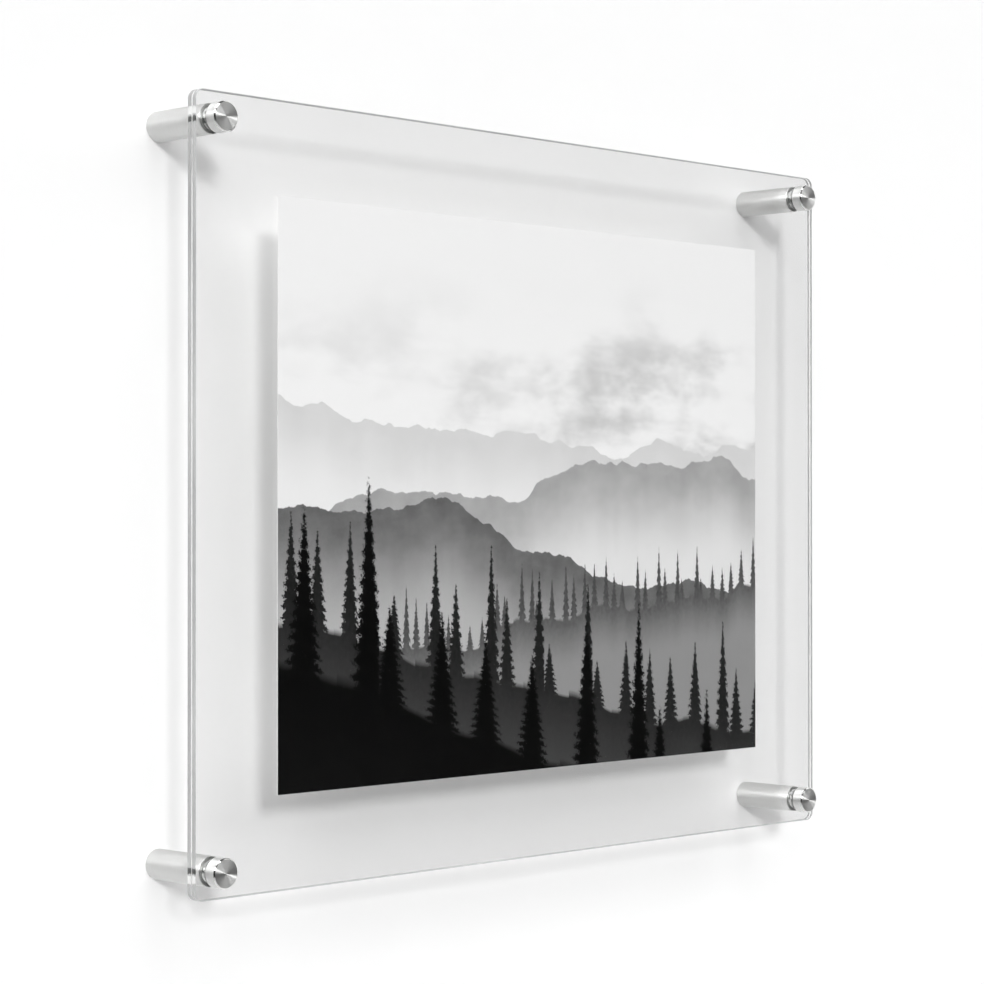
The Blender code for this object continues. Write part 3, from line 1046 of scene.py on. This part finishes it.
class FinishSet:
    """Every finish of the frame, made once."""

    def __init__(self, print_height: float, hole_height: float) -> None:
        """Makes the finishes.

        Args:
            print_height: Height of the printed picture.
            hole_height: Height of the sheets' upper holes.
        """
        effects = Effects()
        # Crest, tilt, relief, scale, seed, tone, mist, depth and texture.
        hills = (
            HillTone(0.115, -0.05, 0.22, 2.2, 3.1, 0.74, 0.92, 0.16, 0.05),
            HillTone(0.03, 0.1, 0.3, 1.7, 11.4, 0.42, 0.84, 0.2, 0.14),
            HillTone(-0.1, -0.16, 0.26, 2.0, 27.9, 0.15, 0.5, 0.22, 0.3),
        )
        # Ground, tilt, height, density, boughs, seed, tone and mist.
        firs = (
            FirTone(-0.24, 0.1, 0.12, 34.0, 8.0, 4.2, 0.08, 0.3),
            FirTone(-0.36, -0.2, 0.26, 15.0, 11.0, 17.6, 0.014, 0.07),
            FirTone(-0.5, -0.34, 0.42, 8.5, 14.0, 41.3, 0.0015, 0.006),
        )
        self.acrylic = ClearFinish(
            effects, "clear_acrylic", tint=grey(0.992), haze_tint=grey(0.972),
            refraction=1.49, polish=0.004, haze=0.03, shade=grey(0.988),
        ).material
        self.cut_edge = CutEdgeFinish(
            effects, "acrylic_cut_edge", dark=(0.46, 0.465, 0.465), light=(0.68, 0.685, 0.685),
            clear=0.25, roughness=(0.12, 0.24), hole_height=hole_height,
            # The last two colours of the cut edge are a painted highlight and a painted shade where the holes
            # show through.
            bright=(0.97, 0.975, 0.97), painted_hole_shade=(0.06, 0.065, 0.062),
        ).material
        self.picture = PictureFinish(
            effects, "printed_hills", height=print_height, white=0.99, cloud=0.58, hills=hills, firs=firs
        ).material
        self.paper = GrainFinish(
            effects, "photo_paper_back", dark=(0.86, 0.86, 0.85), light=(0.94, 0.94, 0.93),
            roughness=(0.5, 0.62), scale=2600.0, relief=(0.25, 0.00003), refraction=1.5,
        ).material
        self.barrel = MetalFinish(
            effects, "satin_turned_metal",
            dark=(0.69, 0.693, 0.685), light=(0.735, 0.737, 0.729), bright=(0.84, 0.84, 0.835),
            roughness=(0.36, 0.41), stretch=0.92, spacing=0.00012, depth=0.000004, haze=0.04,
        ).material
        self.cap = MetalFinish(
            effects, "bright_turned_metal",
            dark=(0.8, 0.803, 0.792), light=(0.92, 0.922, 0.912), bright=(0.97, 0.97, 0.965),
            roughness=(0.42, 0.5), stretch=0.95, spacing=0.00014, depth=0.000004, haze=0.03,
        ).material
        self.chamfer = MetalFinish(
            effects, "polished_chamfer",
            dark=(0.82, 0.823, 0.815), light=(0.88, 0.882, 0.874), bright=(0.95, 0.95, 0.945),
            roughness=(0.1, 0.14), stretch=0.3, spacing=0.00008, depth=0.000001, haze=0.03,
        ).material
        self.stud = MetalFinish(
            effects, "plain_stud_steel",
            dark=(0.46, 0.46, 0.455), light=(0.62, 0.62, 0.61), bright=(0.74, 0.74, 0.73),
            roughness=(0.26, 0.42), stretch=0.3, spacing=0.0003, depth=0.00002, haze=0.06,
        ).material
        self.screw = MetalFinish(
            effects, "zinc_plated_steel",
            dark=(0.56, 0.57, 0.59), light=(0.7, 0.71, 0.73), bright=grey(0.8),
            roughness=(0.22, 0.4), stretch=0.2, spacing=0.0004, depth=0.00001, haze=0.08,
        ).material
        self.washer = ClearFinish(
            effects, "clear_vinyl", tint=(0.96, 0.97, 0.965), haze_tint=(0.9, 0.91, 0.905),
            refraction=1.5, polish=0.12, haze=0.1, shade=(0.95, 0.955, 0.95),
        ).material
        self.anchor = GrainFinish(
            effects, "grey_nylon", dark=(0.42, 0.43, 0.44), light=(0.52, 0.53, 0.54),
            roughness=(0.42, 0.6), scale=5000.0, relief=(0.3, 0.00004), refraction=1.53,
            rubbed=(0.62, 0.63, 0.64),
        ).material
        self.wall = WallFinish(
            effects, "white_wall_paint", dark=grey(0.975), light=WHITE, floor=grey(0.6), far=grey(0.1),
            turn=(-0.7, -1.0), fade=(-0.7, -2.5), glow=0.165, floor_glow=0.8,
        ).material


# Sub-assemblies


@dataclass(frozen=True)
class Span:
    """Where a solid stands, as its box says."""

    axis: Point  # X and Z of its middle
    half: Point  # half of its width and of its height
    back: float  # least distance from the wall's surface
    front: float  # greatest distance from the wall's surface

    @classmethod
    def of(cls, node: str) -> "Span":
        """Reads the box of a solid.

        Args:
            node: The solid.

        Returns:
            Its place.
        """
        low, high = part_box(node)
        axis = ((low[0] + high[0]) / 2, (low[2] + high[2]) / 2)
        return cls(axis, ((high[0] - low[0]) / 2, (high[2] - low[2]) / 2), -high[1], -low[1])


def barrel_axes() -> list[Point]:
    """X and Z of the four barrels."""
    return [Span.of(f"barrel_{corner.value}").axis for corner in Corner]


def adopt(piece: bpy.types.Object, node: str, body: str) -> None:
    """Makes a piece stand for a solid.

    Args:
        piece: The dressed piece.
        node: The solid that it replaces.
        body: The body that it moves with.
    """
    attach(piece, body)
    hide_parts(node)
    LOG.info("%s stands for %s on %s", piece.name, node, body)


@dataclass
class FlatSheet:
    """A flat sheet with round corners and eased rims."""

    node: str  # the solid that it stands for
    slot: Slot
    corner_radius: float
    corner_steps: int
    ease: float  # radius of the rims
    ease_steps: int

    def holes(self, inset: float) -> Rings:
        """Rims of the holes, of which a plain sheet has none."""
        return []

    def accented(self, rim: list[BMFace], front: list[BMFace]) -> list[BMFace]:
        """Chooses the faces that have the second finish."""
        return rim

    def build(self, *finishes: Material) -> None:
        """Builds the sheet, dresses it and puts it in the solid's place.

        Args:
            *finishes: Its own finish and that of the accented faces.
        """
        solid = Span.of(self.node)

        def outline(inset: float) -> Rings:
            """Rim of the sheet and of its holes, drawn in by the inset."""
            half = (solid.half[0] - inset, solid.half[1] - inset)
            return [rounded_outline(half, self.corner_radius - inset, self.corner_steps), *self.holes(inset)]

        turns = [math.pi / 2 * i / self.ease_steps for i in range(self.ease_steps + 1)]
        levels = [(self.ease * (1 - math.sin(a)), solid.back + self.ease * (1 - math.cos(a))) for a in turns]
        levels += [(inset, solid.front + solid.back - distance) for inset, distance in reversed(levels)]
        bm, rim, front = slab(outline, levels)
        for face in self.accented(rim, front):
            face.material_index = 1
        name = f"{self.node}_sheet"
        piece = placed(name, finished(bm, name))
        for material in finishes:
            piece.data.materials.append(material)
        adopt(piece, self.node, self.node)


@dataclass
class ClearSheet(FlatSheet):
    """One clear acrylic sheet with a hole at each standoff, whose cut edges have their own finish."""

    slot: Slot = Slot.ACRYLIC
    corner_radius: float = 0.0048
    corner_steps: int = 14
    ease: float = 0.0003
    ease_steps: int = 4
    hole_radius: float = 0.0053
    hole_sides: int = 72

    def holes(self, inset: float) -> Rings:
        """Rims of the four holes, widened by the inset."""
        return [circle(axis, self.hole_radius + inset, self.hole_sides) for axis in barrel_axes()]


@dataclass
class PrintSheet(FlatSheet):
    """The print between the clear sheets, whose printed face has its own finish."""

    node: str = "print"
    slot: Slot = Slot.PRINT_PAPER
    corner_radius: float = 0.0004
    corner_steps: int = 4
    ease: float = 0.00005
    ease_steps: int = 1

    def accented(self, rim: list[BMFace], front: list[BMFace]) -> list[BMFace]:
        """Chooses the printed face."""
        return front


@dataclass
class PictureSandwich:
    """The two clear sheets and the print between them."""

    back: ClearSheet
    front: ClearSheet
    print_sheet: PrintSheet

    def build(self, finishes: FinishSet) -> None:
        """Builds and dresses the three sheets.

        Args:
            finishes: The finishes.
        """
        self.back.build(finishes.acrylic, finishes.cut_edge)
        self.print_sheet.build(finishes.paper, finishes.picture)
        self.front.build(finishes.acrylic, finishes.cut_edge)


@dataclass
class StandoffShapes:
    """Meshes of one standoff about its own axis, shared by the four corners."""

    sides: int = 128  # facets of the round pieces
    wall_ease: float = 0.0004  # rounding of the barrel's rims
    bore: float = 0.0053  # radius of the hole for the stud
    mouth: float = 0.0005  # chamfer of that hole
    bore_thread: Point = (0.0012, 0.0222)  # depths between which that hole is threaded
    bore_thread_depth: float = 0.0003
    floor: float = 0.0043  # distance of the barrel's inner floor from the wall
    recess: float = 0.0013  # depth of the recess in the barrel's foot
    screw_hole: float = 0.0024  # radius of the hole for the wall screw
    front_chamfer: float = 0.0006  # width of the cap's polished front chamfer
    cap_rings: int = 12  # rings of the cap's face
    cap_hole_depth: float = 0.0041
    chamfer_facing: Point = (0.2, 0.98)  # how far the chamfer's faces look to the front
    washer_ease: float = 0.35  # rounding of the washers' rims, as a share of their thickness
    stud_thread: Thread = Thread(0.0015, ThreadForm.METRIC)
    stud_thread_depth: float = 0.0008
    stud_lead: float = 0.0009  # length of the stud's tapered ends
    stud_taper: float = 0.001  # what they lose in radius
    hex_width: float = 0.005  # hexagon socket of the stud, across its flats
    hex_depth: float = 0.005
    screw_thread: Thread = Thread(0.0018, ThreadForm.WOOD)
    screw_core: float = 0.0014
    screw_radius: float = 0.0021
    screw_point: float = 0.006
    screw_point_rings: int = 24
    screw_neck: Point = (0.004, 0.003)  # depths under the head at which the thread ends and the neck begins
    head_radius: float = 0.004
    head_height: float = 0.003
    cross: Triple = (0.0044, 0.001, 0.0018)  # span, width and depth of the cross recess
    anchor_radius: float = 0.004
    anchor_rim: float = 0.001  # thickness of the plug's rim
    rib_count: int = 7
    rib_depth: float = 0.0005
    slit: Point = (0.001, 0.019)  # width and length of the plug's slit
    overrun: float = 0.001  # how far a cutter reaches out of the piece
    barrel_seam: float = 0.0001  # last step of the barrel's closed profile
    washer_seam: float = 0.00001  # last step of a washer's closed profile

    # In the methods, the rows of an eased profile are radius, distance and rounding of each corner.

    def barrel(self, solid: Span) -> Mesh:
        """Builds the barrel: a satin tube with a threaded bore and a drilled foot.

        Args:
            solid: The solid that it follows.

        Returns:
            The mesh.
        """
        radius, back, front = solid.half[0], solid.back, solid.front
        top, bottom = (front - depth for depth in self.bore_thread)
        outside = [
            (self.bore, back, 0),
            (radius, back, self.wall_ease),
            (radius, front, self.wall_ease),
            (self.bore + self.mouth, front, 0.0001),
            (self.bore, front - self.mouth, 0.0001),
            (self.bore, top, 0),
        ]
        inside = [
            (self.bore, bottom, 0),
            (self.bore, self.floor, 0.0004),
            (self.screw_hole, self.floor, 0.0003),
            (self.screw_hole, self.recess, 0.0001),
            (self.bore, self.recess, 0.0002),
            (self.bore, back + self.barrel_seam, 0),
        ]
        bore = threaded_run(self.bore, top, bottom, self.bore_thread_depth, self.stud_thread.pitch)
        profile = plain(eased(outside)) + bore + plain(eased(inside))
        return turned("barrel", profile, self.sides, self.stud_thread)

    def cap(self, solid: Span) -> Mesh:
        """Builds the cap: a turned disc with a polished front chamfer and a blind hole.

        Args:
            solid: The solid that it follows.

        Returns:
            The mesh, with the chamfer in a material slot of its own.
        """
        radius, back, front, chamfer = solid.half[0], solid.back, solid.front, self.front_chamfer
        rings = [(radius - chamfer) * i / self.cap_rings for i in range(self.cap_rings + 1)]
        rest = [
            (rings[-2], front, 0),
            (radius - chamfer, front, 0.00012),
            (radius, front - chamfer, 0.00012),
            (radius, back, 0.0002),
            (self.bore, back, 0.00015),
            (self.bore, back + self.cap_hole_depth, 0.0003),
            (0.0, back + self.cap_hole_depth, 0),
        ]
        face = [(ring, front) for ring in rings[:-1]]
        mesh = turned("cap", plain(face + eased(rest)[1:]), self.sides, closed=False)
        least, most = self.chamfer_facing
        for polygon in mesh.polygons:
            slanted = least < -polygon.normal.y < most
            polygon.material_index = int(slanted and -polygon.center.y > front - 1.5 * chamfer)
        return mesh

    def washer(self, solid: Span) -> Mesh:
        """Builds a soft clear washer with rounded rims.

        Args:
            solid: The solid that it follows.

        Returns:
            The mesh.
        """
        radius, back, front = solid.half[0], solid.back, solid.front
        middle, ease = (back + front) / 2, (front - back) * self.washer_ease
        rims = [(self.bore, back), (radius, back), (radius, front), (self.bore, front)]
        ends = [(self.bore, middle, 0), (self.bore, middle + self.washer_seam, 0)]
        profile = [ends[0], *((*rim, ease) for rim in rims), ends[1]]
        return turned("washer", plain(eased(profile)), self.sides)

    def stud(self, solid: Span) -> Mesh:
        """Builds the threaded stud with a hexagon socket in its wall end.

        Args:
            solid: The solid that it follows.

        Returns:
            The mesh.
        """
        radius, back, front, lead = solid.half[0], solid.back, solid.front, self.stud_lead
        run = threaded_run(radius, back + lead, front - lead, self.stud_thread_depth, self.stud_thread.pitch)
        end = radius - self.stud_taper
        profile = plain([(0.0, back), (end, back)]) + run + plain([(end, front), (0.0, front)])
        body = turned("stud", profile, self.sides // 2, self.stud_thread, closed=False)
        hexagon = circle((0.0, 0.0), self.hex_width / 2 / math.cos(math.pi / 6), 6)
        return carved(body, prism("hex_socket", hexagon, back - self.overrun, back + self.hex_depth))

    def screw(self, solid: Span) -> Mesh:
        """Builds the pan head wall screw with its thread, point and cross recess.

        Args:
            solid: The solid that it follows.

        Returns:
            The mesh.
        """
        tip, top = solid.back, solid.front
        seat = top - self.head_height
        radius, pitch = self.screw_radius, self.screw_thread.pitch
        cut = radius - self.screw_core
        profile = [ProfilePoint(0.0, tip)]
        for i in range(1, self.screw_point_rings):
            share = i / self.screw_point_rings
            profile.append(ProfilePoint(radius * share, tip + self.screw_point * share, cut * share))
        run = threaded_run(radius, tip + self.screw_point, seat - self.screw_neck[0], cut, pitch)
        profile += [ProfilePoint(point.radius, point.distance, cut) for point in run]
        head = [
            (self.screw_core, seat - self.screw_neck[1], 0),
            (self.screw_core, seat, 0.0003),
            (self.head_radius, seat, 0.0002),
            (self.head_radius, top, 0.0016),
            (0.0, top, 0),
        ]
        profile += plain(eased(head, steps=6))
        body = turned("wall_screw", profile, self.sides // 2, self.screw_thread, closed=False)
        span, width, depth = self.cross
        arm, half = span / 2, width / 2
        outline = []
        for quarter in range(4):
            turn = Matrix.Rotation(quarter * math.pi / 2, 2)
            outline += [tuple(turn @ Vector(p)) for p in ((half, half), (half, arm), (-half, arm))]
        return carved(body, prism("cross_recess", outline, top - depth, top + self.overrun))

    def anchor(self, solid: Span) -> Mesh:
        """Builds the ribbed wall plug with its spreading slit.

        Args:
            solid: The solid that it follows.

        Returns:
            The mesh.
        """
        rim_radius, tip, top = solid.half[0], solid.back, solid.front
        under = top - self.anchor_rim
        pitch = (under - tip) / self.rib_count
        corners = [(self.screw_hole, top, 0), (rim_radius, top, 0.0003), (rim_radius, under, 0.0002)]
        for rib in range(self.rib_count):
            corners.append((self.anchor_radius, under - rib * pitch, 0.00012))
            corners.append((self.anchor_radius - self.rib_depth, under - (rib + 1) * pitch, 0.00008))
        corners.append((self.screw_hole, tip, 0))
        body = turned("wall_anchor", plain(eased(corners, steps=3)), self.sides // 2)
        half, reach = self.slit[0] / 2, self.anchor_radius + self.overrun
        outline = [(-half, -reach), (half, -reach), (half, reach), (-half, reach)]
        return carved(body, prism("anchor_slit", outline, tip - self.overrun, tip + self.slit[1]))


@dataclass
class StandoffSet:
    """The four standoffs with all their hardware."""

    shapes: StandoffShapes
    root: str = "wall_hardware"  # the body that the wall hardware belongs to

    def build(self, finishes: FinishSet) -> None:
        """Builds each mesh once, dresses it and places it in the four corners.

        Args:
            finishes: The finishes.
        """
        shapes, root = self.shapes, self.root
        rows = (
            ("barrel", shapes.barrel, (finishes.barrel,), Slot.SATIN_METAL, root),
            ("rear_washer", shapes.washer, (finishes.washer,), Slot.CLEAR_WASHER, root),
            ("wall_screw", shapes.screw, (finishes.screw,), Slot.ZINC_SCREW, root),
            ("wall_anchor", shapes.anchor, (finishes.anchor,), Slot.NYLON_ANCHOR, root),
            ("front_washer", shapes.washer, (finishes.washer,), Slot.CLEAR_WASHER, "front_washer"),
            ("cap", shapes.cap, (finishes.cap, finishes.chamfer), Slot.TURNED_METAL, "cap"),
            ("stud", shapes.stud, (finishes.stud,), Slot.STUD_STEEL, "cap"),
        )
        for kind, shape, materials, slot, carrier in rows:
            mesh = shape(Span.of(f"{kind}_{Corner.TOP_LEFT.value}"))
            for material in materials:
                mesh.materials.append(material)
            for corner in Corner:
                node = f"{kind}_{corner.value}"
                body = root if carrier == root else f"{carrier}_{corner.value}"
                adopt(placed(f"{node}_piece", mesh, Span.of(node).axis), node, body)


# Studio


@dataclass(frozen=True)
class BroadLamp:
    """A distant lamp with a broad face."""

    name: str
    toward: Triple  # direction from the frame to the lamp
    strength: float
    width: float  # in degrees, as the frame sees it

    def hang(self) -> None:
        """Adds the lamp to the scene."""
        light = bpy.data.lights.new(self.name, "SUN")
        light.energy = self.strength
        light.angle = math.radians(self.width)
        lamp = bpy.data.objects.new(self.name, light)
        lamp.rotation_euler = Vector(self.toward).to_track_quat("Z", "Y").to_euler()
        bpy.context.scene.collection.objects.link(lamp)


@dataclass(frozen=True)
class RoomPatch:
    """A round patch of the room with a soft edge."""

    toward: Triple  # direction of its middle, from the frame
    edge: float  # angle from its middle at which it has faded out, in degrees
    core: float  # angle up to which it has its full strength, in degrees
    strength: float  # radiance that a bright patch adds, or share of light that a dark one takes away

    def shape(self, graph: Graph, view: Socket, target: Point) -> Socket:
        """Draws the patch.

        Args:
            graph: The world's nodes.
            view: Direction of the ray.
            target: Value outside the patch and value in its core.

        Returns:
            The value's socket.
        """
        inputs = {0: view, 1: tuple(Vector(self.toward).normalized())}
        facing = graph.add("VectorMath", inputs, operation="DOT_PRODUCT").outputs["Value"]
        span = (math.cos(math.radians(self.edge)), math.cos(math.radians(self.core)))
        return graph.spread(facing, span, target, soft=True)


@dataclass
class Studio:
    """White wall, soft light and the camera."""

    wall_half_width: float = 2.2
    wall_top: float = 1.6  # above the frame's middle
    wall_gap: float = 0.0001  # between the barrels' feet and the wall
    sweep_radius: float = 0.4  # of the curve from the wall to the floor
    sweep_steps: int = 24
    floor_drop: float = 1.1  # below the frame's middle
    floor_reach: float = 2.6  # out of the wall
    hole_radius: float = 0.0066  # of the wall's holes behind the barrels' feet
    hole_sides: int = 48
    # The key light, a weaker one further left and a row of three above.
    lamps: tuple[BroadLamp, ...] = (
        BroadLamp("key_light", (-0.554, -1.0, 0.34), 1.5, 10.0),
        BroadLamp("side_light", (-1.2, -1.0, 0.8), 0.4, 15.0),
        BroadLamp("top_light_left", (-0.8, -0.5, 1.09), 0.375, 15.0),
        BroadLamp("top_light_middle", (-0.45, -0.5, 1.09), 0.375, 15.0),
        BroadLamp("top_light_right", (-0.1, -0.5, 1.09), 0.375, 15.0),
    )
    room: float = 0.13  # radiance
    # A window high on the right and a card high in front.
    bright: tuple[RoomPatch, ...] = (
        RoomPatch((0.72, -0.45, 0.53), 28.0, 16.0, 1.2),
        RoomPatch((0.1, -0.8, 0.6), 20.0, 10.0, 2.0),
    )
    # A dark corner of the room and the dark round the camera.
    dark: tuple[RoomPatch, ...] = (
        RoomPatch((0.72, -0.69, 0.0), 22.0, 10.0, 0.96),
        RoomPatch((-0.72, -0.69, 0.0), 20.0, 9.0, 0.94),
    )
    # The camera as it was fitted to the photograph.
    camera_at: Triple = (-0.994182, -0.971037, -0.009285)
    yaw: float = 45.898  # turn of the camera's view from +Y to +X, in degrees
    pitch: float = 0.496  # lift of its view, in degrees
    roll: float = -0.015  # roll of its picture, in degrees
    focal_pixels: float = 2649.29  # focal length in pixels of the picture

    def build(self, finishes: FinishSet) -> None:
        """Builds the wall, the lights and the camera.

        Args:
            finishes: The finishes.
        """
        self._wall(finishes.wall)
        self._room()
        for lamp in self.lamps:
            lamp.hang()
        self._camera()
        bpy.context.scene.view_settings.view_transform = "Standard"

    def _wall(self, material: Material) -> None:
        """Builds the wall, pierced behind the barrels, and the floor that it sweeps into.

        Args:
            material: Finish of both.
        """
        width, foot = self.wall_half_width, self.sweep_radius - self.floor_drop
        rings = [[(-width, foot), (width, foot), (width, self.wall_top), (-width, self.wall_top)]]
        rings += [circle(axis, self.hole_radius, self.hole_sides) for axis in barrel_axes()]
        bm = bmesh.new()
        verts = level(bm, rings, -self.wall_gap)
        lid(bm, rings, verts)
        middle = (self.wall_gap - self.sweep_radius, foot)
        curve = arc(middle, self.sweep_radius, 0.0, -math.pi / 2, self.sweep_steps)
        rows = [tuple(verts[0][:2])]
        for y, z in [*curve[1:], (-self.floor_reach, -self.floor_drop)]:
            rows.append((bm.verts.new((-width, y, z)), bm.verts.new((width, y, z))))
        for (a, b), (c, d) in zip(rows, rows[1:]):
            bm.faces.new((a, b, d, c))
        room_side = Vector((0.0, -1.0, 0.4))
        for face in bm.faces:
            face.normal_update()
            if face.normal.dot(room_side) < 0:
                face.normal_flip()
        mesh = smooth_mesh(bm, "studio_wall")
        mesh.materials.append(material)
        placed("studio_wall", mesh)
        LOG.info("studio_wall is the backdrop")

    def _room(self) -> None:
        """Lights the room softly, with its patches, and shows it white where it is looked at."""
        world = bpy.data.worlds.new("soft_room")
        world.use_nodes = True
        bpy.context.scene.world = world
        graph = Graph(world.node_tree)
        view = graph.add("TexCoord").outputs["Generated"]
        glow: Value = self.room
        for patch in self.bright:
            glow = graph.math("ADD", glow, patch.shape(graph, view, (0.0, patch.strength)))
        for patch in self.dark:
            glow = graph.math("MULTIPLY", glow, patch.shape(graph, view, (1.0, 1.0 - patch.strength)))
        sky = world.node_tree.nodes["Background"].inputs
        graph.feed(sky["Strength"], graph.choose(graph.looked_at(), glow, 1.0))
        graph.feed(sky["Color"], WHITE)

    def _camera(self) -> None:
        """Adds the camera at the photograph's viewpoint."""
        yaw, pitch = math.radians(self.yaw), math.radians(self.pitch)
        view = Vector((math.sin(yaw) * math.cos(pitch), math.cos(yaw) * math.cos(pitch), math.sin(pitch)))
        right = Vector((math.cos(yaw), -math.sin(yaw), 0.0))
        up = right.cross(view)
        frame = Matrix((right, up, -view)).transposed() @ Matrix.Rotation(math.radians(self.roll), 3, "Z")
        optics = bpy.data.cameras.new("camera")
        optics.sensor_width = SENSOR_MM
        optics.lens = self.focal_pixels * SENSOR_MM / IMAGE_PIXELS
        camera = bpy.data.objects.new("camera", optics)
        camera.matrix_world = Matrix.Translation(self.camera_at) @ frame.to_4x4()
        bpy.context.scene.collection.objects.link(camera)
        bpy.context.scene.camera = camera


def main() -> None:
    """Builds the frame's looks in order."""
    logging.basicConfig(level=logging.INFO, format="%(name)s: %(message)s")
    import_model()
    low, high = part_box("print")
    finishes = FinishSet(high[2] - low[2], barrel_axes()[0][1])
    PictureSandwich(ClearSheet("back_panel"), ClearSheet("front_panel"), PrintSheet()).build(finishes)
    StandoffSet(StandoffShapes()).build(finishes)
    Studio().build(finishes)


if __name__ == "__main__":
    main()
